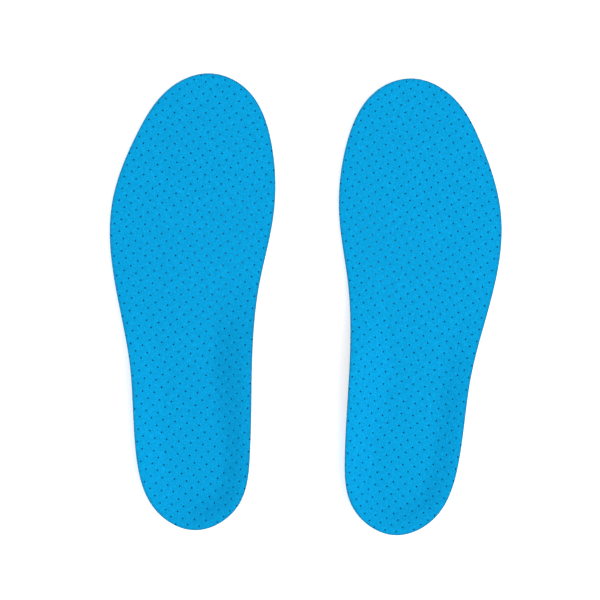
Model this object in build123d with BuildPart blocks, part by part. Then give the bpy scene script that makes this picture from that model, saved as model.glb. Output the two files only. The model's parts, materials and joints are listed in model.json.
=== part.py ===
from build123d import *

import math
import os
from collections import namedtuple

import numpy as np

# A pair of cushioned insoles, lying side by side with their toes towards +Y, top sides up.
# Everything is in millimetres. The floor is z = 0, and the origin is the middle of the pair's
# footprint. The left insole is drawn in its own frame: x = 0 near the middle of the heel, y = 0
# at the back of the heel, +x towards the inner (arch) side of the foot. Its pieces are then laid
# in place, and mirrored for the right foot.

# --- where each insole lies ---
Foot = namedtuple("Foot", "name mirrored heel_x heel_y turn")
FEET = [
    Foot("left", False, -67.0, -133.3, -1.45),
    Foot("right", True, 54.7, -136.4, -2.85),
]

# --- outline, seen from above: heel, inner side, toe, outer side ---
OUTLINE = [
    (2, 0), (27, 14.5), (33.5, 44), (33.5, 88), (36.5, 146), (43.5, 184.5), (42, 226.5), (24.5, 262),
    (4, 269.5), (-19, 260.5), (-38, 233), (-52, 189.5), (-49, 145), (-38.5, 96), (-33.5, 43.5), (-21, 11),
]

# --- thickness along the middle of the foot, cover included ---
HEEL_THICKNESS = 6.6
MIDFOOT_EXTRA = 1.0
BALL_THICKNESS = 5.0
TOE_THICKNESS = 4.6

# --- heel cup and arch: how far the edge rises above the middle ---
OUTER_HEEL_RISE = 4.8
INNER_HEEL_RISE = 6.5
ARCH_EXTRA_RISE = 4.5
ARCH_Y = 98
HEEL_WALL_WIDTH = 18
ARCH_WALL_WIDTH = 26

# --- outer side wall: it leans outwards, and ends in a short upright edge ---
EDGE_LAND = 2.2
BASE_INSET = 0.5
INSET_PER_RISE = 0.75
BLANK_HEIGHT = 20

# --- layers ---
COVER_THICKNESS = 1.0
SUPPORT_COVERED_BY = 5.0

# --- bend line across the ball of the foot ---
BEND_Y = 178
BEND_ANGLE = 17
BEND_GAP = 0.3

# --- heel pad: two round ends joined by tangents ---
HEEL_PAD_X = 1
HEEL_PAD_Y = 32
HEEL_PAD_LENGTH = 26
HEEL_PAD_BACK_RADIUS = 19
HEEL_PAD_FRONT_RADIUS = 15
HEEL_PAD_THICKNESS = 2.6

# --- forefoot pad: an oval beside the bend line ---
FOREFOOT_PAD_X = -3
FOREFOOT_PAD_Y = 207
FOREFOOT_PAD_HALF_WIDTH = 32
FOREFOOT_PAD_HALF_LENGTH = 18
FOREFOOT_PAD_THICKNESS = 1.8
PAD_EDGE_RADIUS = 0.6

# --- arch support: its free edge runs from the inner heel round to the ball ---
ARCH_SUPPORT_EDGE = [(42, 56), (22, 66), (9, 96), (17, 132), (44, 150)]
ARCH_SUPPORT_THIN_EDGE = 1.2

# --- grid that the moulded top surface is drawn through ---
INSOLE_LENGTH = 270
GRID_HALF_WIDTH = 63
GRID_MARGIN = 9
GRID_STEP = 4.5


def ease(low, high, value):
    """0 before low, 1 after high, and a smooth S between them."""
    share = min(max((value - low) / (high - low), 0), 1)
    return share * share * (3 - 2 * share)


def hump(middle, reach, value):
    """1 at the middle, falling away smoothly on both sides."""
    return math.exp(-(((value - middle) / reach) ** 2))


def middle_thickness(y):
    """Thickness of the insole along its middle."""
    forefoot = (HEEL_THICKNESS - BALL_THICKNESS) * ease(110, 185, y)
    toe = (BALL_THICKNESS - TOE_THICKNESS) * ease(200, 265, y)
    return HEEL_THICKNESS + MIDFOOT_EXTRA * hump(105, 30, y) - forefoot - toe


def edge_rise(x, y):
    """How far the edge stands above the middle: a heel cup, and the arch on the inner side."""
    inner = ease(-15, 15, x)
    outer_rise = OUTER_HEEL_RISE * (1 - ease(70, 150, y))
    inner_rise = INNER_HEEL_RISE * (1 - ease(60, 165, y)) + ARCH_EXTRA_RISE * hump(ARCH_Y, 28, y)
    return outer_rise * (1 - inner) + inner_rise * inner


def wall_width(x, y):
    """How far in from the edge the rise begins."""
    return HEEL_WALL_WIDTH + (ARCH_WALL_WIDTH - HEEL_WALL_WIDTH) * ease(-15, 15, x) * ease(40, 95, y)


def outline_normals(points):
    """The outward direction at each point of the outline."""
    normals = []
    for before, after in zip(points[-1:] + points[:-1], points[1:] + points[:1]):
        along = (after[0] - before[0], after[1] - before[1])
        length = math.hypot(*along)
        normals.append((along[1] / length, -along[0] / length))
    return normals


OUTLINE_CURVE = Spline(*OUTLINE, periodic=True)
OUTLINE_SAMPLES = np.array([tuple(OUTLINE_CURVE @ (i / 600))[:2] for i in range(600)])
OUTLINE_TANGENTS = np.roll(OUTLINE_SAMPLES, -1, axis=0) - np.roll(OUTLINE_SAMPLES, 1, axis=0)


def depth_inside(x, y):
    """Distance in from the outline, negative outside it."""
    offsets = np.array([x, y]) - OUTLINE_SAMPLES
    distances = np.hypot(offsets[:, 0], offsets[:, 1])
    nearest = int(distances.argmin())
    offset = offsets[nearest]
    tangent = OUTLINE_TANGENTS[nearest]
    is_inside = tangent[0] * offset[1] - tangent[1] * offset[0] > 0
    return distances[nearest] if is_inside else -distances[nearest]


def top_height(x, y):
    """Height of the moulded top face: an S-shaped rise up to the outline, and level beyond it."""
    risen = 1 - ease(0, wall_width(x, y), depth_inside(x, y))
    return middle_thickness(y) + edge_rise(x, y) * risen


def support_height(x, y):
    """Height of the arch support's top face, which thins out towards both ends."""
    full = top_height(x, y) - SUPPORT_COVERED_BY
    share = ease(52, 84, y) * (1 - ease(112, 152, y))
    return ARCH_SUPPORT_THIN_EDGE + (full - ARCH_SUPPORT_THIN_EDGE) * share


def moulded_face(height):
    """A smooth face through the heights of a grid over the whole insole."""
    across = np.arange(-GRID_HALF_WIDTH, GRID_HALF_WIDTH + GRID_STEP, GRID_STEP)
    along = np.arange(-GRID_MARGIN, INSOLE_LENGTH + GRID_MARGIN + GRID_STEP, GRID_STEP)
    rows = [[(x, y, height(x, y)) for x in across] for y in along]
    return Face.make_surface_from_array_of_points(rows, tol=0.05, min_deg=3, max_deg=3)


def outline_sketch(points, height=0):
    """A closed smooth outline at a height above the floor."""
    with BuildSketch(Plane.XY.offset(height)) as sketch:
        with BuildLine():
            Spline(*points, periodic=True)
        make_face()
    return sketch.sketch


def wall_outlines():
    """The outline of the base, and of the leaning side wall where it would reach the blank's top."""
    base = []
    flared = []
    for (x, y), (out_x, out_y) in zip(OUTLINE, outline_normals(OUTLINE)):
        rise = edge_rise(x, y)
        inset = BASE_INSET + INSET_PER_RISE * rise
        land_height = middle_thickness(y) + rise - EDGE_LAND
        spread = inset * (BLANK_HEIGHT / land_height - 1)
        base.append((x - out_x * inset, y - out_y * inset))
        flared.append((x + out_x * spread, y + out_y * spread))
    return base, flared


def make_blank():
    """The leaning side wall as a solid block, taller than the insole."""
    base, flared = wall_outlines()
    with BuildPart() as blank:
        loft([outline_sketch(base), outline_sketch(flared, BLANK_HEIGHT)], ruled=True)
    return blank.part


def make_top_cover(top_face):
    """The thin perforated cover, whole, before it is cut at the bend line."""
    with BuildPart() as top_cover:
        extrude(top_face, amount=COVER_THICKNESS, dir=(0, 0, -1))
        extrude(outline_sketch(OUTLINE), amount=BLANK_HEIGHT, mode=Mode.INTERSECT)
    return top_cover.part


def make_heel_pad():
    """A cushion pad let into the underside below the heel bone."""
    with BuildPart() as heel_pad:
        with BuildSketch():
            with Locations((HEEL_PAD_X, HEEL_PAD_Y)):
                Circle(HEEL_PAD_BACK_RADIUS)
            with Locations((HEEL_PAD_X, HEEL_PAD_Y + HEEL_PAD_LENGTH)):
                Circle(HEEL_PAD_FRONT_RADIUS)
            make_hull()
        extrude(amount=HEEL_PAD_THICKNESS)
        fillet(heel_pad.edges().group_by(Axis.Z)[-1], PAD_EDGE_RADIUS)
    return heel_pad.part


def make_forefoot_pad():
    """A thin oval cushion pad let into the underside ahead of the bend line."""
    with BuildPart() as forefoot_pad:
        with BuildSketch():
            with Locations((FOREFOOT_PAD_X, FOREFOOT_PAD_Y)):
                Ellipse(FOREFOOT_PAD_HALF_WIDTH, FOREFOOT_PAD_HALF_LENGTH, rotation=BEND_ANGLE)
        extrude(amount=FOREFOOT_PAD_THICKNESS)
        fillet(forefoot_pad.edges().group_by(Axis.Z)[-1], PAD_EDGE_RADIUS)
    return forefoot_pad.part


def make_arch_support(blank):
    """A firm wedge under the inner midfoot, which thins out towards its free edges."""
    with BuildPart() as arch_support:
        add(blank)
        extrude(moulded_face(support_height), amount=2 * BLANK_HEIGHT, dir=(0, 0, -1), mode=Mode.INTERSECT)
        with BuildSketch():
            with BuildLine():
                edge = Spline(*ARCH_SUPPORT_EDGE)
                outside = [(GRID_HALF_WIDTH, ARCH_SUPPORT_EDGE[i][1]) for i in (-1, 0)]
                Polyline(edge @ 1, *outside, edge @ 0)
            make_face()
        extrude(amount=BLANK_HEIGHT, mode=Mode.INTERSECT)
    return arch_support.part


def make_foam(top_face, blank, let_in):
    """The moulded foam under the cover, whole, with recesses for the pieces let into it."""
    with BuildPart() as foam:
        add(blank)
        extrude(outline_sketch(OUTLINE), amount=BLANK_HEIGHT, mode=Mode.INTERSECT)
        under_cover = top_face.moved(Location((0, 0, -COVER_THICKNESS)))
        extrude(under_cover, amount=2 * BLANK_HEIGHT, dir=(0, 0, -1), mode=Mode.INTERSECT)
        for piece in let_in:
            add(piece, mode=Mode.SUBTRACT)
    return foam.part


def bend_plane(shift):
    """The upright cut across the ball of the foot, facing the toes and shifted towards them."""
    lean = math.radians(BEND_ANGLE)
    toward_toes = Vector(-math.sin(lean), math.cos(lean), 0)
    return Plane(origin=Vector(0, BEND_Y, 0) + toward_toes * shift, x_dir=(0, 0, 1), z_dir=toward_toes)


def cut_at_bend(whole):
    """The forefoot and rearfoot halves of a piece, with a small gap between them."""
    with BuildPart() as forefoot:
        add(whole)
        split(bisect_by=bend_plane(BEND_GAP / 2), keep=Keep.TOP)
    with BuildPart() as rearfoot:
        add(whole)
        split(bisect_by=bend_plane(-BEND_GAP / 2), keep=Keep.BOTTOM)
    return forefoot.part, rearfoot.part


def make_insole():
    """Every piece of the left insole by name, in the insole's own frame."""
    top_face = moulded_face(top_height)
    blank = make_blank()
    heel_pad = make_heel_pad()
    forefoot_pad = make_forefoot_pad()
    arch_support = make_arch_support(blank)
    cover_forefoot, cover_rearfoot = cut_at_bend(make_top_cover(top_face))
    foam = make_foam(top_face, blank, [heel_pad, forefoot_pad, arch_support])
    foam_forefoot, foam_rearfoot = cut_at_bend(foam)
    return {
        "top_cover_forefoot": cover_forefoot,
        "top_cover_rearfoot": cover_rearfoot,
        "foam_forefoot": foam_forefoot,
        "foam_rearfoot": foam_rearfoot,
        "heel_pad": heel_pad,
        "forefoot_pad": forefoot_pad,
        "arch_support": arch_support,
    }


def place(piece, foot):
    """A piece laid where its insole lies, mirrored for the right foot."""
    with BuildPart() as placed:
        with Locations(Location((foot.heel_x, foot.heel_y, 0), (0, 0, foot.turn))):
            add(mirror(piece, about=Plane.YZ, mode=Mode.PRIVATE) if foot.mirrored else piece)
    return placed.part


os.makedirs("parts", exist_ok=True)
pieces = make_insole()
for foot in FEET:
    for piece_name, piece in pieces.items():
        placed_piece = place(piece, foot)
        placed_piece.label = f"{foot.name}_{piece_name}"
        export_step(placed_piece, f"parts/{placed_piece.label}.step")
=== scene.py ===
"""The look of a pair of cushioned insoles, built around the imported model.

Each insole is a perforated top cover on a moulded foam body, with a heel pad, a forefoot pad
and an arch support let into the underside. Shapes are worked out in millimetres in the
insole's own frame (x towards the inner side of the foot, y from heel to toe) and become
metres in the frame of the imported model.
"""

from __future__ import annotations

import json
import logging
import math
from dataclasses import dataclass
from enum import Enum

import bpy
import numpy as np
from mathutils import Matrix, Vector

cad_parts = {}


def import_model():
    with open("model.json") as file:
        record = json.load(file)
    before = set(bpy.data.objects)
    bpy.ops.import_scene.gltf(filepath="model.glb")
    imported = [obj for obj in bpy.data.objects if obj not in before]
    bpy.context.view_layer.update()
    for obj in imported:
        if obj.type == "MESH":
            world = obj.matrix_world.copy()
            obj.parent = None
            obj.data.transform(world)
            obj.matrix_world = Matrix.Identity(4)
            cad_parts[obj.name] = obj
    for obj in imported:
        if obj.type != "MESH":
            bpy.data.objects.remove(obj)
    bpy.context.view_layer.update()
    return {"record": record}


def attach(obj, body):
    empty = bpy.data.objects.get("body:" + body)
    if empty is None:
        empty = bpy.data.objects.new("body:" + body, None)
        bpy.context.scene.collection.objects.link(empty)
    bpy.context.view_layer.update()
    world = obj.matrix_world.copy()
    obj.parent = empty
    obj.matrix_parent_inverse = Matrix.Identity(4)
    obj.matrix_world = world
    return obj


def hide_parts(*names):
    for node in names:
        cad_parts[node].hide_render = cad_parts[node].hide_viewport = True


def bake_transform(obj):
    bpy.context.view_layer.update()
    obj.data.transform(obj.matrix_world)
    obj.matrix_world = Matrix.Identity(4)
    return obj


MM = 0.001
HOLE_SIDES = 12
EDGE_COUNT = 560
SMOOTH_ANGLE = math.radians(35)

# In millimetres: how far a cutter's round stands clear of the face it meets, and flares beyond it.
CLEARANCE = 0.02
FLARE = 0.05

Points = tuple[tuple[float, float], ...]
log = logging.getLogger("insoles")


# ---------------------------------------------------------------------------
# Shape of the moulded insole
# ---------------------------------------------------------------------------


def ease(low: float, high: float, value: np.ndarray) -> np.ndarray:
    """A smooth S-shaped step.

    Args:
        low: Where the step starts.
        high: Where the step ends.
        value: Places along the step.

    Returns:
        0 before low, 1 after high, and a smooth rise between them.
    """
    share = np.clip((value - low) / (high - low), 0, 1)
    return share * share * (3 - 2 * share)


def hump(middle: float, reach: float, value: np.ndarray) -> np.ndarray:
    """A smooth hump that is 1 at the middle and falls away over the reach."""
    return np.exp(-(((value - middle) / reach) ** 2))


def closed_curve(points: Points, count: int) -> np.ndarray:
    """A smooth closed curve through a few points.

    Args:
        points: The points that the curve passes through.
        count: How many places along the curve to return.

    Returns:
        An array of count places, evenly spread in the curve's own parameter.
    """
    knots = np.array(points, float)
    steps = np.linalg.norm(np.roll(knots, -1, axis=0) - knots, axis=1)
    total = len(knots)
    matrix = np.zeros((total, total))
    right = np.zeros((total, 2))
    for i in range(total):
        before, after = steps[i - 1], steps[i]
        matrix[i, i - 1] = after
        matrix[i, i] = 2 * (before + after)
        matrix[i, (i + 1) % total] = before
        rise = (knots[(i + 1) % total] - knots[i]) / after
        fall = (knots[i] - knots[i - 1]) / before
        right[i] = 3 * (before * rise + after * fall)
    slopes = np.linalg.solve(matrix, right)
    ends = np.cumsum(steps)
    along = np.linspace(0, ends[-1], count, endpoint=False)
    span = np.searchsorted(ends, along, side="right")
    length = steps[span]
    t = ((along - (ends - steps)[span]) / length)[:, None]
    here, there = knots[span], knots[(span + 1) % total]
    slope_here = slopes[span] * length[:, None]
    slope_there = slopes[(span + 1) % total] * length[:, None]
    return (
        (2 * t**3 - 3 * t**2 + 1) * here
        + (t**3 - 2 * t**2 + t) * slope_here
        + (3 * t**2 - 2 * t**3) * there
        + (t**3 - t**2) * slope_there
    )


def outward_directions(ring: np.ndarray) -> np.ndarray:
    """The outward direction at each place of an anticlockwise ring."""
    along = np.roll(ring, -1, axis=0) - np.roll(ring, 1, axis=0)
    outward = np.stack([along[:, 1], -along[:, 0]], axis=1)
    return outward / np.linalg.norm(outward, axis=1)[:, None]


@dataclass(frozen=True)
class MouldedShape:
    """The shape that both insoles are pressed to, in millimetres in the insole's own frame."""

    outline: Points = (
        (2, 0), (27, 14.5), (33.5, 44), (33.5, 88), (36.5, 146), (43.5, 184.5), (42, 226.5), (24.5, 262),
        (4, 269.5), (-19, 260.5), (-38, 233), (-52, 189.5), (-49, 145), (-38.5, 96), (-33.5, 43.5), (-21, 11),
    )
    heel_thickness: float = 6.6
    midfoot_extra: float = 1.0
    ball_thickness: float = 5.0
    toe_thickness: float = 4.6
    thins_to_ball: tuple[float, float] = (110, 185)
    thins_to_toe: tuple[float, float] = (200, 265)
    midfoot_y: float = 105.0
    midfoot_reach: float = 30.0
    outer_heel_rise: float = 4.8
    inner_heel_rise: float = 6.5
    arch_extra_rise: float = 4.5
    arch_y: float = 98.0
    arch_reach: float = 28.0
    inner_side: tuple[float, float] = (-15, 15)
    outer_rise_ends: tuple[float, float] = (70, 150)
    inner_rise_ends: tuple[float, float] = (60, 165)
    heel_wall_width: float = 18.0
    arch_wall_width: float = 26.0
    wall_widens: tuple[float, float] = (40, 95)
    base_inset: float = 0.5
    inset_per_rise: float = 0.75
    bend_y: float = 178.0
    bend_angle: float = 17.0
    hinge_x: float = -4.0
    samples: int = 720
    batch: int = 4096

    def edge(self, count: int) -> np.ndarray:
        """The outline as count places, anticlockwise, starting at the back of the heel."""
        return closed_curve(self.outline, count)

    def depth(self, x: np.ndarray, y: np.ndarray) -> tuple[np.ndarray, np.ndarray]:
        """How far in from the outline each place lies.

        Args:
            x: Places across the insole.
            y: Places along the insole.

        Returns:
            The depth, negative outside, and the outward direction at the nearest edge.
        """
        edge = self.edge(self.samples)
        outward = outward_directions(edge)
        places = np.stack([x, y], axis=1)
        depths = np.empty(len(places))
        directions = np.empty((len(places), 2))
        for start in range(0, len(places), self.batch):
            part = places[start : start + self.batch]
            offsets = part[:, None, :] - edge[None, :, :]
            nearest = np.einsum("ijk,ijk->ij", offsets, offsets).argmin(axis=1)
            chosen = offsets[np.arange(len(part)), nearest]
            normal = outward[nearest]
            depths[start : start + self.batch] = -np.einsum("ij,ij->i", chosen, normal)
            directions[start : start + self.batch] = normal
        return depths, directions

    def middle_thickness(self, y: np.ndarray) -> np.ndarray:
        """Thickness along the middle of the foot, cover included."""
        forefoot = (self.heel_thickness - self.ball_thickness) * ease(*self.thins_to_ball, y)
        toe = (self.ball_thickness - self.toe_thickness) * ease(*self.thins_to_toe, y)
        midfoot = self.midfoot_extra * hump(self.midfoot_y, self.midfoot_reach, y)
        return self.heel_thickness + midfoot - forefoot - toe

    def edge_rise(self, x: np.ndarray, y: np.ndarray) -> np.ndarray:
        """How far the edge stands above the middle: a heel cup, and the arch on the inner side."""
        inner = ease(*self.inner_side, x)
        outer_rise = self.outer_heel_rise * (1 - ease(*self.outer_rise_ends, y))
        inner_rise = self.inner_heel_rise * (1 - ease(*self.inner_rise_ends, y))
        inner_rise = inner_rise + self.arch_extra_rise * hump(self.arch_y, self.arch_reach, y)
        return outer_rise * (1 - inner) + inner_rise * inner

    def wall_width(self, x: np.ndarray, y: np.ndarray) -> np.ndarray:
        """How far in from the edge the rise begins."""
        wider = self.arch_wall_width - self.heel_wall_width
        return self.heel_wall_width + wider * ease(*self.inner_side, x) * ease(*self.wall_widens, y)

    def height(self, x: np.ndarray, y: np.ndarray) -> np.ndarray:
        """Height of the moulded top face above the floor."""
        depth, _ = self.depth(x, y)
        risen = 1 - ease(0, self.wall_width(x, y), depth)
        return self.middle_thickness(y) + self.edge_rise(x, y) * risen

    def base_shift(self, x: np.ndarray, y: np.ndarray) -> np.ndarray:
        """How far, and which way, the material under each place leans in at the base."""
        depth, outward = self.depth(x, y)
        share = np.clip(1 - depth / self.wall_width(x, y), 0, 1) ** 2
        inset = (self.base_inset + self.inset_per_rise * self.edge_rise(x, y)) * share
        return -outward * inset[:, None]


class Side(Enum):
    """Which foot an insole is for. The value is the start of its nodes' names."""

    LEFT = "left"
    RIGHT = "right"

    @property
    def mirror(self) -> int:
        """1 for the left foot, -1 for the right one, whose own frame is mirrored."""
        return 1 if self is Side.LEFT else -1


@dataclass(frozen=True)
class Placement:
    """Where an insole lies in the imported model's frame, read from its bend hinge."""

    side: Side
    heel: tuple[float, float]
    turn: float
    hinge: Vector
    forward: Vector

    @classmethod
    def from_joint(cls, side: Side, joints: list[dict], shape: MouldedShape) -> Placement:
        """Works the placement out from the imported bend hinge.

        Args:
            side: Which foot.
            joints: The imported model's joints.
            shape: The moulded shape, which says where the hinge lies in the insole's own frame.

        Returns:
            The placement, its heel point in millimetres and its turn in radians.
        """
        joint = next(j for j in joints if j["name"] == f"{side.value}_ball_flex")
        lean = math.radians(shape.bend_angle)
        turn = math.atan2(joint["axis"][1], joint["axis"][0]) - side.mirror * lean
        own_x = side.mirror * shape.hinge_x
        own_y = shape.bend_y + shape.hinge_x * math.tan(lean)
        hinge_x, hinge_y = joint["pos_m"][0] / MM, joint["pos_m"][1] / MM
        heel_x = hinge_x - own_x * math.cos(turn) + own_y * math.sin(turn)
        heel_y = hinge_y - own_x * math.sin(turn) - own_y * math.cos(turn)
        forward = Vector((-joint["axis"][1], joint["axis"][0], 0)).normalized()
        return cls(side, (heel_x, heel_y), turn, Vector(joint["pos_m"]), forward)

    def to_row(self, places: np.ndarray) -> np.ndarray:
        """Own-frame places or directions, turned and mirrored and laid in the row frame."""
        x, y = places[:, 0] * self.side.mirror, places[:, 1]
        cos, sin = math.cos(self.turn), math.sin(self.turn)
        row_x = self.heel[0] + x * cos - y * sin
        row_y = self.heel[1] + x * sin + y * cos
        return np.stack([row_x, row_y], axis=1)

    def to_own(self, places: np.ndarray) -> np.ndarray:
        """Row-frame places taken back to the insole's own frame."""
        x, y = places[:, 0] - self.heel[0], places[:, 1] - self.heel[1]
        cos, sin = math.cos(self.turn), math.sin(self.turn)
        return np.stack([(x * cos + y * sin) * self.side.mirror, y * cos - x * sin], axis=1)

    def direction_to_row(self, directions: np.ndarray) -> np.ndarray:
        """Own-frame directions turned and mirrored into the row frame."""
        return self.to_row(directions) - np.array(self.heel)


@dataclass(frozen=True)
class Perforation:
    """The square pattern of punched holes, in millimetres in the row frame.

    The sheet is drawn and turned a little behind the ball of the foot when it is moulded, so
    the rows drift there, and each hole wanders a little. One hole's place is given from the bend
    hinge. The foam springs back behind the punch, so its holes are narrower than the cover's.
    """

    hinge: tuple[float, float]
    from_hinge: tuple[float, float]
    first_pitch: float
    first_angle: float
    second_pitch: float
    second_angle: float
    drift: tuple[float, float]
    drift_turn: float
    drift_from: float = 40.0
    drift_length: float = 175.0
    drift_end: float = 1.2
    drift_powers: tuple[float, float] = (1.6, 1.2)
    hole_radius: float = 0.47
    closed_radius: float = 0.16
    wander: float = 0.16
    wander_across: tuple[float, float] = (7.0, 1.9)
    wander_along: tuple[float, float] = (2.1, 6.0)

    @property
    def start(self) -> np.ndarray:
        """The place of the hole that the pattern is counted from."""
        return np.array(self.hinge) + np.array(self.from_hinge)

    @property
    def steps(self) -> np.ndarray:
        """The two steps of the pattern, one on each row of the array."""
        first, second = math.radians(self.first_angle), math.radians(self.second_angle)
        return np.array([
            [self.first_pitch * math.cos(first), self.first_pitch * math.sin(first)],
            [self.second_pitch * math.cos(second), self.second_pitch * math.sin(second)],
        ])

    def drawn(self, places: np.ndarray) -> np.ndarray:
        """Places on the flat sheet after the rear half has been drawn to shape."""
        x, y = places[:, 0], places[:, 1]
        share = np.clip((self.drift_from - y) / self.drift_length, 0, self.drift_end)
        moved = places.copy()
        moved[:, 0] += self.drift[0] * share ** self.drift_powers[0]
        moved[:, 1] += self.drift[1] * share ** self.drift_powers[1]
        moved[:, 1] += self.drift_turn * (x - self.start[0]) * share
        moved[:, 0] += self.wander * np.sin(y / self.wander_across[1] + x / self.wander_across[0])
        moved[:, 1] += self.wander * np.sin(x / self.wander_along[0] - y / self.wander_along[1])
        return moved


# ---------------------------------------------------------------------------
# Mesh helpers
# ---------------------------------------------------------------------------


def deselect_all() -> None:
    """Leaves nothing selected, so that the next operator acts on the new piece alone."""
    if bpy.context.object and bpy.context.object.mode != "OBJECT":
        bpy.ops.object.mode_set(mode="OBJECT")
    bpy.ops.object.select_all(action="DESELECT")


def pick(piece: bpy.types.Object) -> bpy.types.Object:
    """Makes a piece the only selected and active object."""
    deselect_all()
    piece.select_set(True)
    bpy.context.view_layer.objects.active = piece
    return piece


def coordinates(piece: bpy.types.Object) -> np.ndarray:
    """The piece's vertices as an array of places in metres."""
    flat = np.empty(len(piece.data.vertices) * 3)
    piece.data.vertices.foreach_get("co", flat)
    return flat.reshape(-1, 3)


def move_vertices(piece: bpy.types.Object, places: np.ndarray) -> None:
    """Puts the piece's vertices at new places."""
    piece.data.vertices.foreach_set("co", places.ravel())
    piece.data.update()


def remove(piece: bpy.types.Object) -> None:
    """Takes a finished tool body out of the scene."""
    bpy.data.objects.remove(piece, do_unlink=True)


def apply_modifier(piece: bpy.types.Object, kind: str, **settings: object) -> None:
    """Adds a modifier to a piece and applies it.

    Args:
        piece: The piece.
        kind: The modifier's type.
        **settings: The modifier's settings.
    """
    pick(piece)
    modifier = piece.modifiers.new(kind.lower(), kind)
    for name, value in settings.items():
        setattr(modifier, name, value)
    bpy.ops.object.modifier_apply(modifier=modifier.name)


def edit(piece: bpy.types.Object, *steps: tuple) -> None:
    """Runs edit-mode operators on the whole of a piece.

    Args:
        piece: The piece.
        *steps: Pairs of an operator and its settings.
    """
    pick(piece)
    bpy.ops.object.mode_set(mode="EDIT")
    bpy.ops.mesh.select_all(action="SELECT")
    for operator, settings in steps:
        operator(**settings)
    bpy.ops.object.mode_set(mode="OBJECT")


def face_outwards(piece: bpy.types.Object) -> None:
    """Turns the faces of a piece outwards."""
    edit(piece, (bpy.ops.mesh.normals_make_consistent, {"inside": False}))


def triangulate(piece: bpy.types.Object) -> None:
    """Splits the faces of more than four corners that cutting leaves."""
    apply_modifier(piece, "TRIANGULATE", min_vertices=5)


def name_new(name: str) -> bpy.types.Object:
    """Names the object that an operator has just added, and its mesh."""
    piece = bpy.context.object
    piece.name = name
    piece.data.name = name
    return piece


def extruded_rings(
    name: str, count: int, levels: int, capped: bool
) -> tuple[bpy.types.Object, list[np.ndarray]]:
    """Rings of equal count, each extruded from the one before, ready to be put in their places.

    Args:
        name: The piece's name.
        count: Vertices in each ring.
        levels: How many rings.
        capped: Whether the first and the last ring are closed by a face.

    Returns:
        The piece, and for each ring its vertices' numbers, anticlockwise from above.
    """
    deselect_all()
    fill = "NGON" if capped else "NOTHING"
    bpy.ops.mesh.primitive_circle_add(vertices=count, radius=1, fill_type=fill)
    piece = name_new(name)
    bpy.ops.object.mode_set(mode="EDIT")
    bpy.ops.mesh.select_all(action="SELECT")
    for _ in range(levels - 1):
        bpy.ops.mesh.extrude_region_move(TRANSFORM_OT_translate={"value": (0, 0, 1)})
    bpy.ops.object.mode_set(mode="OBJECT")
    places = coordinates(piece)
    quarter_step = math.pi / count / 2
    around = np.mod(np.arctan2(places[:, 1], places[:, 0]) + quarter_step, 2 * math.pi)
    level = np.rint(places[:, 2]).astype(int)
    rings = [np.flatnonzero(level == i) for i in range(levels)]
    return piece, [ring[np.argsort(around[ring])] for ring in rings]


def stacked_rings(name: str, rings: list[np.ndarray]) -> bpy.types.Object:
    """A closed body of rings stacked from the bottom up, capped at both ends.

    Args:
        name: The body's name.
        rings: One array of places in metres for each ring, anticlockwise from above.

    Returns:
        The body.
    """
    body, members = extruded_rings(name, len(rings[0]), len(rings), capped=True)
    places = coordinates(body)
    for ring, places_of_ring in zip(members, rings):
        places[ring] = places_of_ring
    move_vertices(body, places)
    face_outwards(body)
    return body


def copies(name: str, model: bpy.types.Object, centres: np.ndarray) -> bpy.types.Object:
    """One piece made of copies of a model, each with its own vertices.

    Args:
        name: The new piece's name.
        model: The model, in millimetres, which is taken away afterwards.
        centres: Where each copy goes, in millimetres in the row frame.

    Returns:
        The piece, in metres.
    """
    corners = coordinates(model)
    faces = [list(face.vertices) for face in model.data.polygons]
    remove(model)
    places = np.tile(corners, (len(centres), 1))
    places[:, :2] += np.repeat(centres, len(corners), axis=0)
    shifts = [i * len(corners) for i in range(len(centres))]
    all_faces = [[shift + corner for corner in face] for shift in shifts for face in faces]
    mesh = bpy.data.meshes.new(name)
    mesh.from_pydata((places * MM).tolist(), [], all_faces)
    piece = bpy.data.objects.new(name, mesh)
    bpy.context.scene.collection.objects.link(piece)
    return piece


def combine(piece: bpy.types.Object, body: bpy.types.Object, operation: str) -> None:
    """Combines a piece with a body by a boolean operation, and takes the body away."""
    apply_modifier(piece, "BOOLEAN", operation=operation, object=body, solver="MANIFOLD")
    remove(body)


def keep_common(piece: bpy.types.Object, body: bpy.types.Object) -> None:
    """Keeps only what the piece has in common with a body."""
    combine(piece, body, "INTERSECT")


def cut_away(piece: bpy.types.Object, body: bpy.types.Object) -> None:
    """Cuts a body out of the piece."""
    combine(piece, body, "DIFFERENCE")


# ---------------------------------------------------------------------------
# Pressing flat material to shape
# ---------------------------------------------------------------------------


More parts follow.
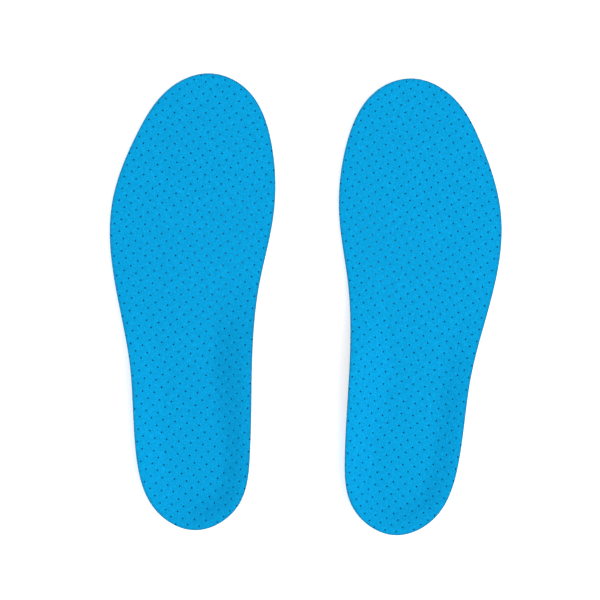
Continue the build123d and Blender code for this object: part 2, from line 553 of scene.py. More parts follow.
@dataclass(frozen=True)
class Press:
    """Takes flat slabs, in metres in the row frame, to the moulded shape of one insole."""

    shape: MouldedShape
    place: Placement
    slope_step: float = 0.5
    hole_leans: tuple[float, float] = (0.4, 4)

    def ring(self, own_ring: np.ndarray, height: float) -> np.ndarray:
        """An own-frame ring laid in the row frame, anticlockwise, at a height in millimetres."""
        laid = self.place.to_row(own_ring)
        if self.place.side is Side.RIGHT:
            laid = laid[::-1]
        return np.column_stack([laid, np.full(len(laid), height)]) * MM

    def cut_to_outline(self, piece: bpy.types.Object, profile: list[tuple[float, float]]) -> None:
        """Cuts a flat piece to the insole's outline.

        Args:
            piece: The flat piece.
            profile: Height and inset in millimetres of the rings of its edge, from the bottom up.
        """
        edge = self.shape.edge(EDGE_COUNT)
        outward = outward_directions(edge)
        rings = [self.ring(edge - outward * inset, height) for height, inset in profile]
        keep_common(piece, stacked_rings("cutter", rings))

    def drawn_in(self, places: np.ndarray) -> np.ndarray:
        """Row-frame places in millimetres, drawn in where the sheet climbs the heel and arch walls.

        The extra length of the climb is half the squared slope, added up from the wall's foot.
        """
        own = self.place.to_own(places)
        depth, outward = self.shape.depth(own[:, 0], own[:, 1])
        width = self.shape.wall_width(own[:, 0], own[:, 1])
        rise = self.shape.edge_rise(own[:, 0], own[:, 1])
        share = np.clip(1 - depth / width, 0, 1)
        pulled = 18 * rise**2 / width * (share**3 / 3 - share**4 / 2 + share**5 / 5)
        return places - self.place.direction_to_row(outward) * pulled[:, None]

    def hole_lean(self, own: np.ndarray) -> np.ndarray:
        """Sideways run of a hole per unit of depth, in the own frame: square to the moulded face."""
        step = self.slope_step
        x, y = own[:, 0], own[:, 1]
        slope_x = (self.shape.height(x + step, y) - self.shape.height(x - step, y)) / (2 * step)
        slope_y = (self.shape.height(x, y + step) - self.shape.height(x, y - step)) / (2 * step)
        depth, _ = self.shape.depth(x, y)
        fades = ease(*self.hole_leans, depth) / np.sqrt(1 + slope_x**2 + slope_y**2)
        return np.stack([slope_x * fades, slope_y * fades], axis=1)

    def press_cover(self, piece: bpy.types.Object) -> None:
        """Lifts a flat sheet, whose top is at 0, on to the moulded face."""
        places = coordinates(piece) / MM
        own = self.place.to_own(places[:, :2])
        lean = self.place.direction_to_row(self.hole_lean(own))
        sunk = -places[:, 2]
        places[:, :2] += lean * sunk[:, None]
        places[:, 2] = self.shape.height(own[:, 0], own[:, 1]) - sunk
        move_vertices(piece, places * MM)

    def press_body(self, piece: bpy.types.Object, slab: float, land: float, cover: float) -> None:
        """Presses a flat slab, whose top is at 0, between the moulded face and the floor.

        Args:
            piece: The slab.
            slab: The slab's thickness.
            land: How far the upright edge reaches below the slab's top.
            cover: Thickness of the cover that lies on it.
        """
        places = coordinates(piece) / MM
        own = self.place.to_own(places[:, :2])
        sunk = np.clip(-places[:, 2], 0, slab)
        top = self.shape.height(own[:, 0], own[:, 1]) - cover
        below_land = np.maximum(sunk - land, 0) / (slab - land)
        lean = self.place.direction_to_row(self.hole_lean(own)) * cover
        base = self.place.direction_to_row(self.shape.base_shift(own[:, 0], own[:, 1]))
        places[:, :2] += lean * (1 - sunk / slab)[:, None] + base * below_land[:, None]
        upright = top - np.minimum(sunk, land)
        places[:, 2] = upright - (top - land) * below_land
        move_vertices(piece, places * MM)


@dataclass(frozen=True)
class PerforatedSlab:
    """Flat perforated material, cut to the insole's outline, with its top face at height 0.

    The rings round each hole are its radius and how far the surface dips there, in millimetres.
    """

    press: Press
    perforation: Perforation
    rings: tuple[tuple[float, float], ...]
    thickness: float
    edge_profile: list[tuple[float, float]]
    spare: float = 7.0
    reach: int = 45
    weld: float = 0.02

    def cell(self) -> bpy.types.Object:
        """One cell of the pattern: a hole, its soft rim, and the material half way to the next."""
        cell, members = extruded_rings("cell", HOLE_SIDES, len(self.rings) + 1, capped=False)
        places = coordinates(cell)
        tilt = math.radians(self.perforation.first_angle + self.perforation.second_angle - 90) / 2
        spread = 2 * math.pi / HOLE_SIDES
        around = (np.arange(HOLE_SIDES) + 0.5) * spread
        for ring, (radius, dip) in zip(members, self.rings):
            places[ring, 0] = radius * np.cos(around + tilt)
            places[ring, 1] = radius * np.sin(around + tilt)
            places[ring, 2] = -dip
        direction = np.stack([np.cos(around), np.sin(around)], axis=1)
        on_square = direction / np.abs(direction).max(axis=1)[:, None] / 2
        places[members[-1], :2] = on_square @ self.perforation.steps
        places[members[-1], 2] = 0
        move_vertices(cell, places)
        return cell

    def tiled(self, name: str) -> bpy.types.Object:
        """Copies of the cell over the whole outline, joined edge to edge, in metres."""
        counts = np.arange(-self.reach, self.reach + 1)
        first, second = np.meshgrid(counts, counts)
        centres = np.stack([first.ravel(), second.ravel()], axis=1) @ self.perforation.steps
        centres = centres + self.perforation.start
        laid = self.press.drawn_in(self.perforation.drawn(centres))
        own = self.press.place.to_own(laid)
        depth, _ = self.press.shape.depth(own[:, 0], own[:, 1])
        sheet = copies(name, self.cell(), centres[depth > -self.spare])
        edit(sheet, (bpy.ops.mesh.remove_doubles, {"threshold": self.weld * MM}))
        return sheet

    def thicken(self, sheet: bpy.types.Object) -> None:
        """Extrudes the sheet straight down, to a level underside."""
        down = {"value": (0, 0, -self.thickness * MM)}
        edit(sheet, (bpy.ops.mesh.extrude_region_move, {"TRANSFORM_OT_translate": down}))
        places = coordinates(sheet)
        places[places[:, 2] < -self.thickness / 2 * MM, 2] = -self.thickness * MM
        move_vertices(sheet, places)
        face_outwards(sheet)

    def build(self, name: str) -> bpy.types.Object:
        """The slab: tiled, drawn to shape, thickened and cut to the outline.

        Args:
            name: The piece's name.

        Returns:
            The flat slab.
        """
        slab = self.tiled(name)
        places = coordinates(slab)
        laid = self.press.drawn_in(self.perforation.drawn(places[:, :2] / MM))
        places[:, :2] = laid * MM
        move_vertices(slab, places)
        self.thicken(slab)
        self.press.cut_to_outline(slab, self.edge_profile)
        triangulate(slab)
        return slab


def rounded_top(radius: float, at: float, steps: int = 4) -> list[tuple[float, float]]:
    """Heights and insets of rings that round an upper edge off, from the bottom up.

    Args:
        radius: Radius of the round.
        at: Height of the edge.
        steps: How many steps the round has.

    Returns:
        The heights and insets, ending on the edge's top.
    """
    turns = [math.pi / 2 * i / steps for i in range(steps + 1)]
    return [(at - radius + radius * math.sin(turn), radius * (1 - math.cos(turn))) for turn in turns]


def rounded_bottom(radius: float, at: float, steps: int = 4) -> list[tuple[float, float]]:
    """Heights and insets of rings that round a lower edge off, from the bottom up.

    Args:
        radius: Radius of the round.
        at: Height of the edge.
        steps: How many steps the round has.

    Returns:
        The heights and insets, starting on the edge's bottom.
    """
    turned_over = rounded_top(radius, radius, steps)
    return [(at + radius - height, inset) for height, inset in reversed(turned_over)]


# ---------------------------------------------------------------------------
# Finishes
# ---------------------------------------------------------------------------


class Shading:
    """The nodes of one material, added and joined one at a time."""

    def __init__(self, name: str) -> None:
        """Starts a material with its shader.

        Args:
            name: The material's name.
        """
        self.material = bpy.data.materials.new(name)
        self.material.use_nodes = True
        self.nodes = self.material.node_tree.nodes
        self.links = self.material.node_tree.links
        self.shader = self.nodes["Principled BSDF"]

    def set_shader(self, **values: object) -> None:
        """Sets constants on the shader's own sockets, named with underscores for spaces."""
        for name, value in values.items():
            self.shader.inputs[name.replace("_", " ")].default_value = value

    def node(self, kind: str, values: dict | None = None, **settings: object) -> bpy.types.Node:
        """Adds a node.

        Args:
            kind: The node's type, without its ShaderNode prefix.
            values: Constants for its sockets, by name or number.
            **settings: The node's own properties.

        Returns:
            The node.
        """
        node = self.nodes.new(f"ShaderNode{kind}")
        for name, value in settings.items():
            setattr(node, name, value)
        for name, value in (values or {}).items():
            node.inputs[name].default_value = value
        return node

    def join(self, source: bpy.types.NodeSocket, target: bpy.types.NodeSocket) -> None:
        """Joins an output to an input."""
        self.links.new(source, target)

    def places(self, stretch: tuple[float, float, float], turn: float = 0) -> bpy.types.NodeSocket:
        """The object's own coordinates, stretched and turned about the upright.

        Args:
            stretch: Scale along each axis.
            turn: Turn in degrees.

        Returns:
            The socket that carries them.
        """
        source = self.node("TexCoord")
        mapping = self.node("Mapping", {"Scale": stretch, "Rotation": (0, 0, math.radians(turn))})
        self.join(source.outputs["Object"], mapping.inputs["Vector"])
        return mapping.outputs["Vector"]

    def noise(self, places: bpy.types.NodeSocket, scale: float, detail: float = 2) -> bpy.types.NodeSocket:
        """Smooth noise.

        Args:
            places: The coordinates.
            scale: Grains to the metre.
            detail: How many finer layers it has.

        Returns:
            The socket with a value about 0.5.
        """
        noise = self.node("TexNoise", {"Scale": scale, "Detail": detail, "Roughness": 0.6})
        self.join(places, noise.inputs["Vector"])
        return noise.outputs["Fac"]

    def spread(self, value: bpy.types.NodeSocket, low: float, high: float, to: tuple) -> bpy.types.NodeSocket:
        """A value taken from one range to another, and held inside it.

        Args:
            value: The value.
            low: Bottom of its range.
            high: Top of its range.
            to: The new range.

        Returns:
            The socket with the new value.
        """
        ranges = {"From Min": low, "From Max": high, "To Min": to[0], "To Max": to[1]}
        node = self.node("MapRange", ranges, clamp=True)
        self.join(value, node.inputs["Value"])
        return node.outputs["Result"]

    def blended(self, share: bpy.types.NodeSocket, first: object, second: object) -> bpy.types.NodeSocket:
        """Two colours mixed.

        Args:
            share: How much of the second colour.
            first: The first colour, or the socket that carries it.
            second: The second colour, or the socket that carries it.

        Returns:
            The socket with the mixed colour.
        """
        mix = self.node("Mix", data_type="RGBA")
        self.join(share, mix.inputs["Factor"])
        for colour, socket in ((first, mix.inputs[6]), (second, mix.inputs[7])):
            if isinstance(colour, tuple):
                socket.default_value = (*colour, 1)
            else:
                self.join(colour, socket)
        return mix.outputs[2]

    def patched(
        self, colour: object, noise: bpy.types.NodeSocket, low: float, high: float, most: float, patch: tuple
    ) -> bpy.types.NodeSocket:
        """A colour with patches of another where the noise is low.

        Args:
            colour: The colour, or the socket that carries it.
            noise: The noise.
            low: Noise at which the patches are strongest.
            high: Noise at which they have faded out.
            most: How much of the patches' colour there is at the strongest.
            patch: The patches' colour.

        Returns:
            The socket with the patched colour.
        """
        return self.blended(self.spread(noise, low, high, (most, 0)), colour, patch)

    def attribute(self, name: str) -> bpy.types.NodeSocket:
        """A value stored on the piece's vertices."""
        return self.node("Attribute", attribute_name=name).outputs["Fac"]

    def bumps(self, layers: list[tuple[bpy.types.NodeSocket, float]]) -> None:
        """Relief on the shader, layer on layer.

        Args:
            layers: Each layer's height, from 0 to 1, and its depth in millimetres.
        """
        under = None
        for height, depth in layers:
            bump = self.node("Bump", {"Strength": 1, "Distance": depth * MM})
            self.join(height, bump.inputs["Height"])
            if under:
                self.join(under, bump.inputs["Normal"])
            under = bump.outputs["Normal"]
        self.join(under, self.shader.inputs["Normal"])


def darker(colour: tuple[float, float, float], share: float) -> tuple[float, float, float]:
    """The colour, with each channel taken to a share of itself."""
    return tuple(channel * share for channel in colour)


@dataclass(frozen=True)
class BrushedTextile:
    """The cover's dense brushed knit: matt, even, with a fine felted grain and painted shade along its outer
    edge.
    """

    colour: tuple[float, float, float] = (0.0022, 0.298, 0.612)
    # Painted shade along the cover's rolled outer edge.
    rim_shade_colour: tuple[float, float, float] = (0.003, 0.11, 0.22)
    fibre_scale: float = 1500
    fibre_depth: float = 0.10
    felt_scale: float = 760
    felt_depth: float = 0.12

    def material(self) -> bpy.types.Material:
        """The material."""
        shading = Shading("brushed_textile")
        shading.set_shader(Roughness=0.95, Specular_IOR_Level=0.02, Sheen_Weight=0.05, Sheen_Roughness=0.5)
        shading.set_shader(Sheen_Tint=(0.05, 0.55, 1, 1))
        along = shading.places((1, 0.45, 1), turn=33)
        across = shading.places((0.45, 1, 1), turn=33)
        even = shading.places((1, 1, 1))
        fibres = shading.noise(along, self.fibre_scale, detail=4)
        cross_fibres = shading.noise(across, self.fibre_scale, detail=4)
        felt = shading.noise(even, self.felt_scale, detail=3)
        cloud = shading.noise(even, 30, detail=2)
        grain = shading.spread(fibres, 0.4, 0.6, (0, 1))
        colour = shading.blended(grain, darker(self.colour, 0.94), darker(self.colour, 1.14))
        colour = shading.patched(colour, felt, 0.4, 0.6, 0.6, darker(self.colour, 0.8))
        colour = shading.patched(colour, cloud, 0.35, 0.65, 0.10, darker(self.colour, 0.85))
        # Painted shade: the colour darkens towards the cover's outer edge, by the "cut" weights.
        colour = shading.blended(shading.attribute("cut"), colour, self.rim_shade_colour)
        shading.join(colour, shading.shader.inputs["Base Color"])
        knit = [(fibres, self.fibre_depth), (cross_fibres, self.fibre_depth)]
        shading.bumps([(felt, self.felt_depth), *knit])
        return shading.material


@dataclass(frozen=True)
class MouldedFoam:
    """The body's closed-cell foam: a moulded skin with fine open pores, painted darker in their pits as
    shade.
    """

    colour: tuple[float, float, float] = (0.003, 0.175, 0.42)
    cell_scale: float = 1100
    cell_depth: float = 0.12

    def material(self) -> bpy.types.Material:
        """The material."""
        shading = Shading("moulded_foam")
        shading.set_shader(Roughness=0.85, Specular_IOR_Level=0.12)
        even = shading.places((1, 1, 1))
        cells = shading.node("TexVoronoi", {"Scale": self.cell_scale, "Randomness": 1})
        shading.join(even, cells.inputs["Vector"])
        pores = shading.spread(cells.outputs["Distance"], 0.05, 0.6, (0, 1))
        skin = shading.noise(even, 260, detail=4)
        cloud = shading.noise(even, 24, detail=2)
        # Painted shade: each pore is darker down in its pit, where the bump sinks.
        colour = shading.blended(pores, darker(self.colour, 0.72), darker(self.colour, 1.05))
        colour = shading.patched(colour, skin, 0.35, 0.65, 0.3, darker(self.colour, 0.75))
        colour = shading.patched(colour, cloud, 0.35, 0.65, 0.2, darker(self.colour, 0.8))
        shading.join(colour, shading.shader.inputs["Base Color"])
        roughness = shading.spread(skin, 0.3, 0.7, (0.75, 0.92))
        shading.join(roughness, shading.shader.inputs["Roughness"])
        shading.bumps([(skin, 0.15), (pores, self.cell_depth)])
        return shading.material


@dataclass(frozen=True)
class GelPad:
    """The pads' soft gel: smooth, a little glossy, with faint flow marks and fine dust."""

    colour: tuple[float, float, float] = (0.003, 0.055, 0.15)
    dust_colour: tuple[float, float, float] = (0.12, 0.22, 0.38)

    def material(self) -> bpy.types.Material:
        """The material."""
        shading = Shading("cushion_gel")
        shading.set_shader(Specular_IOR_Level=0.4, Coat_Weight=0.15, Coat_Roughness=0.35)
        flow = shading.noise(shading.places((1, 0.3, 1), turn=20), 90, detail=3)
        dust = shading.noise(shading.places((1, 1, 1)), 1300, detail=3)
        colour = shading.blended(flow, darker(self.colour, 0.85), darker(self.colour, 1.2))
        dusty = shading.spread(dust, 0.5, 0.75, (0, 0.12))
        colour = shading.blended(dusty, colour, self.dust_colour)
        shading.join(colour, shading.shader.inputs["Base Color"])
        roughness = shading.spread(dust, 0.3, 0.7, (0.32, 0.5))
        shading.join(roughness, shading.shader.inputs["Roughness"])
        shading.bumps([(flow, 0.06), (dust, 0.015)])
        return shading.material


@dataclass(frozen=True)
class FirmSupport:
    """The arch support's firm plastic: fine moulded texture, rubbed lighter where it has worn."""

    colour: tuple[float, float, float] = (0.018, 0.026, 0.040)
    rubbed: tuple[float, float, float] = (0.05, 0.065, 0.085)

    def material(self) -> bpy.types.Material:
        """The material."""
        shading = Shading("firm_support")
        shading.set_shader(Specular_IOR_Level=0.35)
        even = shading.places((1, 1, 1))
        texture = shading.noise(even, 1700, detail=4)
        scuffs = shading.noise(shading.places((1, 0.12, 1), turn=-20), 220, detail=4)
        worn = shading.spread(scuffs, 0.55, 0.75, (0, 0.5))
        colour = shading.blended(worn, self.colour, self.rubbed)
        colour = shading.patched(colour, texture, 0.35, 0.7, 0.25, darker(self.colour, 0.6))
        shading.join(colour, shading.shader.inputs["Base Color"])
        roughness = shading.spread(scuffs, 0.35, 0.7, (0.5, 0.7))
        shading.join(roughness, shading.shader.inputs["Roughness"])
        shading.bumps([(texture, 0.05)])
        return shading.material


@dataclass(frozen=True)
class Finishes:
    """One material for each kind of piece, shared by both insoles."""

    cover: bpy.types.Material
    foam: bpy.types.Material
    pad: bpy.types.Material
    support: bpy.types.Material

    @classmethod
    def mixed(cls) -> Finishes:
        """The four materials, newly made."""
        cover, foam = BrushedTextile().material(), MouldedFoam().material()
        return cls(cover, foam, GelPad().material(), FirmSupport().material())


def dress(piece: bpy.types.Object, material: bpy.types.Material) -> None:
    """Gives a piece its finish and smooth shading, with its sharper edges left crisp."""
    piece.data.materials.clear()
    piece.data.materials.append(material)
    pick(piece)
    bpy.ops.object.shade_smooth_by_angle(angle=SMOOTH_ANGLE)


# ---------------------------------------------------------------------------
# The pieces of one insole
# ---------------------------------------------------------------------------


@dataclass(frozen=True)
class TopCover:
    """The perforated textile cover, one sheet from heel to toe, with a softly rounded edge."""

    press: Press
    perforation: Perforation
    thickness: float = 1.0
    rim_radius: float = 0.78
    rim_dip: float = 0.05
    lip_radius: float = 0.58
    lip_dip: float = 0.14
    edge_radius: float = 0.45
    spare: float = 0.5
    # Depths in from the outline over which the painted edge shade fades out.
    rim_shade_from: float = 0.14
    rim_shade_to: float = 0.52

    def build(self, name: str) -> bpy.types.Object:
        """The cover, pressed to shape.

        Args:
            name: The piece's name.

        Returns:
            The cover.
        """
        hole = (self.perforation.hole_radius, self.lip_dip)
        rings = (hole, (self.lip_radius, self.rim_dip), (self.rim_radius, 0))
        profile = [(-self.thickness - self.spare, 0), *rounded_top(self.edge_radius, CLEARANCE)]
        profile.append((self.spare, self.edge_radius + FLARE))
        slab = PerforatedSlab(self.press, self.perforation, rings, self.thickness, profile)
        cover = slab.build(name)
        self.mark_rim_shade(cover)
        self.press.press_cover(cover)
        return cover

    def mark_rim_shade(self, cover: bpy.types.Object) -> None:
        """Notes on the vertices how near each lies to the outer edge, where the finish paints shade."""
        own = self.press.place.to_own(coordinates(cover)[:, :2] / MM)
        depth, _ = self.press.shape.depth(own[:, 0], own[:, 1])
        # The "cut" weight says where shade is painted along the outer edge.
        cut = 1 - ease(self.rim_shade_from, self.rim_shade_to, depth)
        layer = cover.data.attributes.new("cut", "FLOAT", "POINT")
        layer.data.foreach_set("value", cut)


@dataclass(frozen=True)
class ArchSupport:
    """The firm wedge under the inner midfoot, which thins out towards its free edges."""

    press: Press
    border: Points = (
        (42, 56), (22, 66), (9, 96), (17, 132), (44, 150), (62, 140), (66, 103), (60, 64),
    )
    thin_edge: float = 1.2
    covered_by: float = 5.0
    edge_radius: float = 0.4
    spare: float = 0.6
    grid_step: float = 1.4
    margin: float = 4.0
    border_count: int = 240
    rises_over: tuple[float, float] = (52, 84)
    falls_over: tuple[float, float] = (112, 152)

    def height(self, own: np.ndarray) -> np.ndarray:
        """Height of the support's top face above the floor."""
        x, y = own[:, 0], own[:, 1]
        full = self.press.shape.height(x, y) - self.covered_by
        share = ease(*self.rises_over, y) * (1 - ease(*self.falls_over, y))
        return self.thin_edge + (full - self.thin_edge) * share

    def blank(self, name: str, slab: float) -> bpy.types.Object:
        """A plain slab over the support's part of the insole, with its top at height 0."""
        low = np.min(self.border, axis=0) - self.margin
        high = np.max(self.border, axis=0) + self.margin
        middle = self.press.place.to_row(np.array([(low + high) / 2]))[0] * MM
        size = float(max(high - low)) * MM
        count = round(size / MM / self.grid_step)
        deselect_all()
        bpy.ops.mesh.primitive_grid_add(
            x_subdivisions=count, y_subdivisions=count, size=size, location=(*middle, 0)
        )
        blank = name_new(name)
        bpy.ops.object.transform_apply(location=True, rotation=True, scale=True)
        apply_modifier(blank, "SOLIDIFY", thickness=slab * MM, offset=-1)
        return blank

    def build(self, name: str, body: FoamBody, groove: float = 0) -> bpy.types.Object:
        """The support in the flat slab's own heights, before it is pressed to shape.

        Args:
            name: The piece's name.
            body: The foam body that it is let into.
            groove: How much larger it is all round, for the recess that takes it.

        Returns:
            The flat support.
        """
        blank = self.blank(name, body.slab)
        edge = closed_curve(self.border, self.border_count)[::-1]
        outward = outward_directions(edge)
        bottom, round_inset = -body.slab, 0 if groove else self.edge_radius
        rounded = [] if groove else rounded_bottom(self.edge_radius, bottom + CLEARANCE)
        profile = [(bottom - self.spare, round_inset), *rounded, (self.spare, 0)]
        rings = [self.press.ring(edge + outward * (groove - inset), height) for height, inset in profile]
        keep_common(blank, stacked_rings("border", rings))
        self.thin(blank, body, groove)
        if not groove:
            self.press.cut_to_outline(blank, body.profile)
        return blank

    def thin(self, blank: bpy.types.Object, body: FoamBody, groove: float) -> None:
        """Takes the blank's top face down to the support's own height, and spares the bottom."""
        places = coordinates(blank) / MM
        own = self.press.place.to_own(places[:, :2])
        top = self.press.shape.height(own[:, 0], own[:, 1]) - body.cover
        share = (self.height(own) + groove) / (top - body.land)
        level = body.land + (body.slab - body.land) * (1 - share)
        sunk = -places[:, 2] / body.slab
        deepest = body.slab + (self.spare if groove else 0)
        places[:, 2] = -(level + (deepest - level) * sunk)
        move_vertices(blank, places * MM)


@dataclass(frozen=True)
class FoamBody:
    """The moulded foam under the cover, with holes right through and recesses in its underside."""

    press: Press
    perforation: Perforation
    slab: float = 5.0
    land: float = 1.2
    cover: float = 1.04
    bottom_radius: float = 0.8
    top_radius: float = 0.2
    groove: float = 0.25
    spare: float = 0.6
    hole_dip: float = 0.15
    hole_rim: float = 0.1

    @property
    def profile(self) -> list[tuple[float, float]]:
        """Heights and insets of the edge of the flat slab."""
        below = (-self.slab - self.spare, self.bottom_radius)
        above = (self.spare, self.top_radius + FLARE)
        lower = rounded_bottom(self.bottom_radius, CLEARANCE - self.slab)
        return [below, *lower, *rounded_top(self.top_radius, CLEARANCE, 2), above]

    def build(self, name: str, support: ArchSupport, pads: list[Pad]) -> bpy.types.Object:
        """The foam, pressed to shape, with its recesses cut.

        Args:
            name: The piece's name.
            support: The arch support that is let into it.
            pads: The pads that are let into it.

        Returns:
            The foam.
        """
        rim = (self.perforation.hole_radius + self.hole_rim, 0)
        rings = ((self.perforation.closed_radius, self.hole_dip), rim)
        foam = PerforatedSlab(self.press, self.perforation, rings, self.slab, self.profile).build(name)
        level = {"plane_co": (0, 0, -self.land * MM), "plane_no": (0, 0, 1)}
        edit(foam, (bpy.ops.mesh.bisect, level))
        cut_away(foam, support.build("support_recess", self, self.groove))
        self.press.press_body(foam, self.slab, self.land, self.cover)
        for pad in pads:
            cut_away(foam, pad.recess(self.groove))
        triangulate(foam)
        return foam


@dataclass(frozen=True)
class Pad:
    """A gel pad let into the underside, with rounded edges and a field of small hollows."""

    press: Press
    thickness: float
    top_radius: float = 0.6
    bottom_radius: float = 0.35
    inner_rings: tuple[float, float, float] = (0.92, 0.05, -0.08)
    hollow_sides: int = 6
    hollow_width: float = 3.5
    hollow_flare: tuple[float, float] = (1.1, 0.85)
    hollow_heights: tuple[float, float] = (-0.2, 0.7)
    hollow_pitch: float = 4.6
    hollow_margin: float = 3.4
    hollow_reach: int = 10
    spare: float = 1.0
    count: int = 180

    @property
    def turns(self) -> np.ndarray:
        """Equal turns all round, one for each vertex of a ring."""
        return np.arange(self.count) * 2 * math.pi / self.count

    def outline(self) -> tuple[np.ndarray, np.ndarray]:
        """The pad's outline in the own frame, anticlockwise, and the outward direction there."""
        raise NotImplementedError

    def rings(self, profile: list[tuple[float, float]]) -> list[np.ndarray]:
        """Rings round the pad, and smaller ones over its flat faces, so that it can bend.

        Args:
            profile: Height and inset of each ring of the side, from the bottom up.

        Returns:
            The rings, from the middle of the underside to the middle of the top.
        """
        edge, outward = self.outline()
        side = [self.press.ring(edge - outward * inset, height) for height, inset in profile]
        shares = np.arange(*self.inner_rings)
        under = [side[0].mean(axis=0) * (1 - share) + side[0] * share for share in reversed(shares)]
        over = [side[-1].mean(axis=0) * (1 - share) + side[-1] * share for share in shares]
        return [*under, *side, *over]

    def recess(self, groove: float) -> bpy.types.Object:
        """The body that is cut out of the foam to take the pad."""
        profile = [(-self.spare, -groove), (self.thickness + CLEARANCE, -groove)]
        return stacked_rings("pad_recess", self.rings(profile))

    def hollows(self) -> bpy.types.Object:
        """The small six-sided hollows in the pad's underside, as one cutter."""
        hollow, members = extruded_rings("hollow", self.hollow_sides, 2, capped=True)
        places = coordinates(hollow)
        for ring, share, height in zip(members, self.hollow_flare, self.hollow_heights):
            places[ring, :2] *= self.hollow_width / 2 * share
            places[ring, 2] = height
        move_vertices(hollow, places)
        face_outwards(hollow)
        edge, outward = self.outline()
        middle = edge.mean(axis=0)
        counts = np.arange(-self.hollow_reach, self.hollow_reach + 1)
        first, second = np.meshgrid(counts, counts)
        across = (first + second / 2).ravel() * self.hollow_pitch
        along = second.ravel() * self.hollow_pitch * math.sin(math.radians(60))
        centres = np.stack([along, across], axis=1) + middle
        offsets = centres[:, None, :] - edge[None, :, :]
        inside = -np.einsum("ijk,jk->ij", offsets, outward).max(axis=1)
        return copies("hollows", hollow, self.press.place.to_row(centres[inside > self.hollow_margin]))

    def build(self, name: str) -> bpy.types.Object:
        """The pad, in place.

        Args:
            name: The piece's name.

        Returns:
            The pad.
        """
        lower = rounded_bottom(self.bottom_radius, 0, 3)
        pad = stacked_rings(name, self.rings([*lower, *rounded_top(self.top_radius, self.thickness)]))
        cut_away(pad, self.hollows())
        triangulate(pad)
        return pad


@dataclass(frozen=True)
class HeelPad(Pad):
    """The pad below the heel bone: two round ends joined by tangents."""

    thickness: float = 2.6
    back: tuple[float, float] = (1, 32)
    length: float = 26
    back_radius: float = 19
    front_radius: float = 15

    def outline(self) -> tuple[np.ndarray, np.ndarray]:
        """The outline in the own frame, anticlockwise, and the outward direction there."""
        outward = np.stack([np.cos(self.turns), np.sin(self.turns)], axis=1)
        is_front = outward[:, 1] * self.length > self.back_radius - self.front_radius
        centre = np.array(self.back) + np.outer(is_front, (0, self.length))
        radius = np.where(is_front, self.front_radius, self.back_radius)
        return centre + outward * radius[:, None], outward


@dataclass(frozen=True)
class ForefootPad(Pad):
    """The oval pad ahead of the bend line."""

    thickness: float = 1.8
    middle: tuple[float, float] = (-3, 207)
    half_width: float = 32
    half_length: float = 18

    def outline(self) -> tuple[np.ndarray, np.ndarray]:
        """The outline in the own frame, anticlockwise, and the outward direction there."""
        cos, sin = np.cos(self.turns), np.sin(self.turns)
        lean = math.radians(self.press.shape.bend_angle)
        turned = np.array([[math.cos(lean), math.sin(lean)], [-math.sin(lean), math.cos(lean)]])
        edge = np.stack([self.half_width * cos, self.half_length * sin], axis=1)
        outward = np.stack([self.half_length * cos, self.half_width * sin], axis=1)
        outward /= np.linalg.norm(outward, axis=1)[:, None]
        return np.array(self.middle) + edge @ turned, outward @ turned


class Layer(Enum):
    """The kinds of piece, by their slot in the record."""

    COVER = "top_cover"
    FOAM = "foam"
    PAD = "pad"
    SUPPORT = "arch_support"


@dataclass
class Insole:
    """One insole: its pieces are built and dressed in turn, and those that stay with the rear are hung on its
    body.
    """

    shape: MouldedShape
    place: Placement
    perforation: Perforation
    finishes: Finishes
    bend_behind: float = 0.020
    bend_ahead: float = 0.036
    flat_size: tuple[float, float] = (0.097, 0.272)
    flat_area: float = 0.0203

    @property
    def side(self) -> str:
        """The start of this insole's names."""
        return self.place.side.value

    def add(self, piece: bpy.types.Object, layer: Layer, bends: bool, *stands_for: str) -> None:
        """Hides the CAD nodes a finished piece stands for, and hangs the piece on the rear body unless bends
        is set.

        Args:
            piece: The piece.
            layer: What kind of piece it is. Not used.
            bends: Whether its transform is only baked in, rather than it being hung on the rear body.
            *stands_for: The CAD nodes' names without the side.
        """
        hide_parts(*[f"{self.side}_{node}" for node in stands_for])
        rear, front = f"{self.side}_rearfoot", f"{self.side}_forefoot"
        if bends:
            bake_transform(piece)
        else:
            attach(piece, rear)
        log.info("%s: %d faces", piece.name, len(piece.data.polygons))

    def build(self) -> None:
        """Builds the five pieces, from the underside up."""
        press = Press(self.shape, self.place)
        heel_pad, forefoot_pad = HeelPad(press), ForefootPad(press)
        support, body = ArchSupport(press), FoamBody(press, self.perforation)
        self.build_pad(heel_pad, "heel_pad", bends=False)
        self.build_pad(forefoot_pad, "forefoot_pad", bends=True)
        self.build_support(support, body)
        foam = body.build(f"{self.side}_moulded_foam", support, [heel_pad, forefoot_pad])
        dress(foam, self.finishes.foam)
        self.add(foam, Layer.FOAM, True, "foam_rearfoot", "foam_forefoot")
        cover = TopCover(press, self.perforation).build(f"{self.side}_textile_cover")
        dress(cover, self.finishes.cover)
        self.add(cover, Layer.COVER, True, "top_cover_rearfoot", "top_cover_forefoot")

    def build_pad(self, pad: Pad, node: str, bends: bool) -> None:
        """Builds one gel pad.

        Args:
            pad: The pad's shape.
            node: The CAD node it stands for, without the side.
            bends: Whether its transform is only baked in, rather than it being hung on the rear body.
        """
        piece = pad.build(f"{self.side}_gel_{node}")
        dress(piece, self.finishes.pad)
        self.add(piece, Layer.PAD, bends, node)

    def build_support(self, support: ArchSupport, body: FoamBody) -> None:
        """Builds the arch support.

        Args:
            support: The support's shape.
            body: The foam it is let into.
        """
        piece = support.build(f"{self.side}_firm_arch_support", body)
        body.press.press_body(piece, body.slab, body.land, body.cover)
        triangulate(piece)
        dress(piece, self.finishes.support)
        self.add(piece, Layer.SUPPORT, False, "arch_support")


# ---------------------------------------------------------------------------
# Studio
# ---------------------------------------------------------------------------


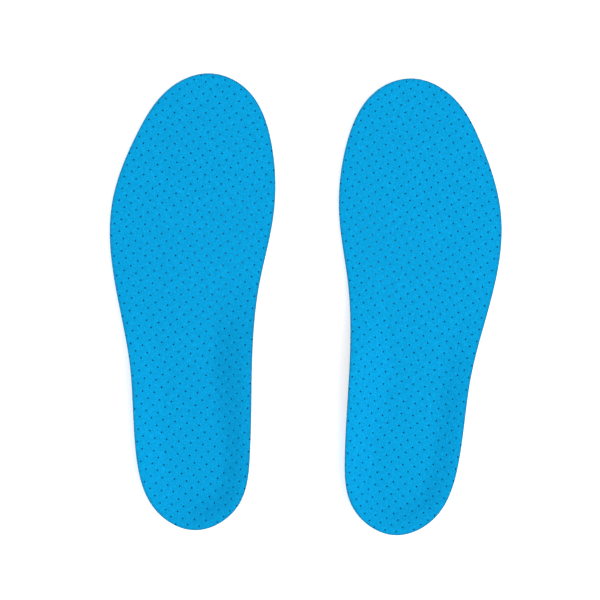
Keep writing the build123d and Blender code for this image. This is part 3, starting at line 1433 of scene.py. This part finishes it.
@dataclass(frozen=True)
class Studio:
    """A white, faintly glowing floor under soft even light, seen from straight above, in metres."""

    view_width: float = 0.3537
    view_centre: tuple[float, float] = (-0.0029, 0.0021)
    view_level: float = 0.008
    camera_height: float = 1.8
    sky: float = 0.98
    key_power: float = 40.0
    key_size: float = 2.4
    key_place: tuple[float, float, float] = (1.75, -0.7, 1.9)
    floor_tone: tuple[float, float, float] = (0.99, 0.99, 0.99)
    floor_glow: float = 0.3
    floor_size: float = 8.0
    floor_level: float = -0.00005

    def build(self) -> None:
        """Sets the camera, the floor and the light up."""
        self.build_camera()
        self.build_floor()
        self.build_light()
        bpy.context.scene.view_settings.view_transform = "Standard"

    def build_camera(self) -> None:
        """The camera, looking straight down with the toes up."""
        camera = bpy.data.cameras.new("camera")
        distance = self.camera_height - self.view_level
        camera.lens = camera.sensor_width * distance / self.view_width
        placed = bpy.data.objects.new("camera", camera)
        placed.location = (*self.view_centre, self.camera_height)
        bpy.context.scene.collection.objects.link(placed)
        bpy.context.scene.camera = placed

    def build_floor(self) -> None:
        """A wide plain floor."""
        deselect_all()
        bpy.ops.mesh.primitive_plane_add(size=self.floor_size, location=(0, 0, self.floor_level))
        floor = bpy.context.object
        floor.name = "floor"
        shading = Shading("floor_paint")
        shading.set_shader(Roughness=0.9, Specular_IOR_Level=0.1, Base_Color=(*self.floor_tone, 1))
        shading.set_shader(Emission_Color=(1, 1, 1, 1), Emission_Strength=self.floor_glow)
        floor.data.materials.append(shading.material)

    def build_light(self) -> None:
        """An even white sky and one large soft light from the right."""
        world = bpy.data.worlds.new("studio")
        world.use_nodes = True
        background = world.node_tree.nodes["Background"]
        background.inputs["Color"].default_value = (1, 1, 1, 1)
        background.inputs["Strength"].default_value = self.sky
        bpy.context.scene.world = world
        key = bpy.data.lights.new("key", "AREA")
        key.energy = self.key_power
        key.size = self.key_size
        placed = bpy.data.objects.new("key", key)
        placed.location = self.key_place
        placed.rotation_euler = (-Vector(self.key_place)).to_track_quat("-Z", "Y").to_euler()
        bpy.context.scene.collection.objects.link(placed)


# ---------------------------------------------------------------------------
# The pair
# ---------------------------------------------------------------------------


def punched_pattern(place: Placement) -> Perforation:
    """The pattern of holes on one insole, which is cut from a sheet laid by hand."""
    hinge = (place.hinge.x / MM, place.hinge.y / MM)
    if place.side is Side.LEFT:
        return Perforation(
            hinge, from_hinge=(1.5, 4.7), first_pitch=5.06, first_angle=33.4, second_pitch=5.03,
            second_angle=123.1, drift=(11.6, -6.2), drift_turn=0.10,
        )
    return Perforation(
        hinge, from_hinge=(-4.4, 9.6), first_pitch=4.95, first_angle=32.2, second_pitch=5.05,
        second_angle=121.3, drift=(2.3, -3.9), drift_turn=0.06,
    )


def main() -> None:
    """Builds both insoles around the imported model."""
    logging.basicConfig(level=logging.INFO, format="%(name)s: %(message)s")
    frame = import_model()
    Studio().build()
    shape = MouldedShape()
    finishes = Finishes.mixed()
    for side in Side:
        place = Placement.from_joint(side, frame["record"]["behaviour"]["joints"], shape)
        Insole(shape, place, punched_pattern(place), finishes).build()


if __name__ == "__main__":
    main()
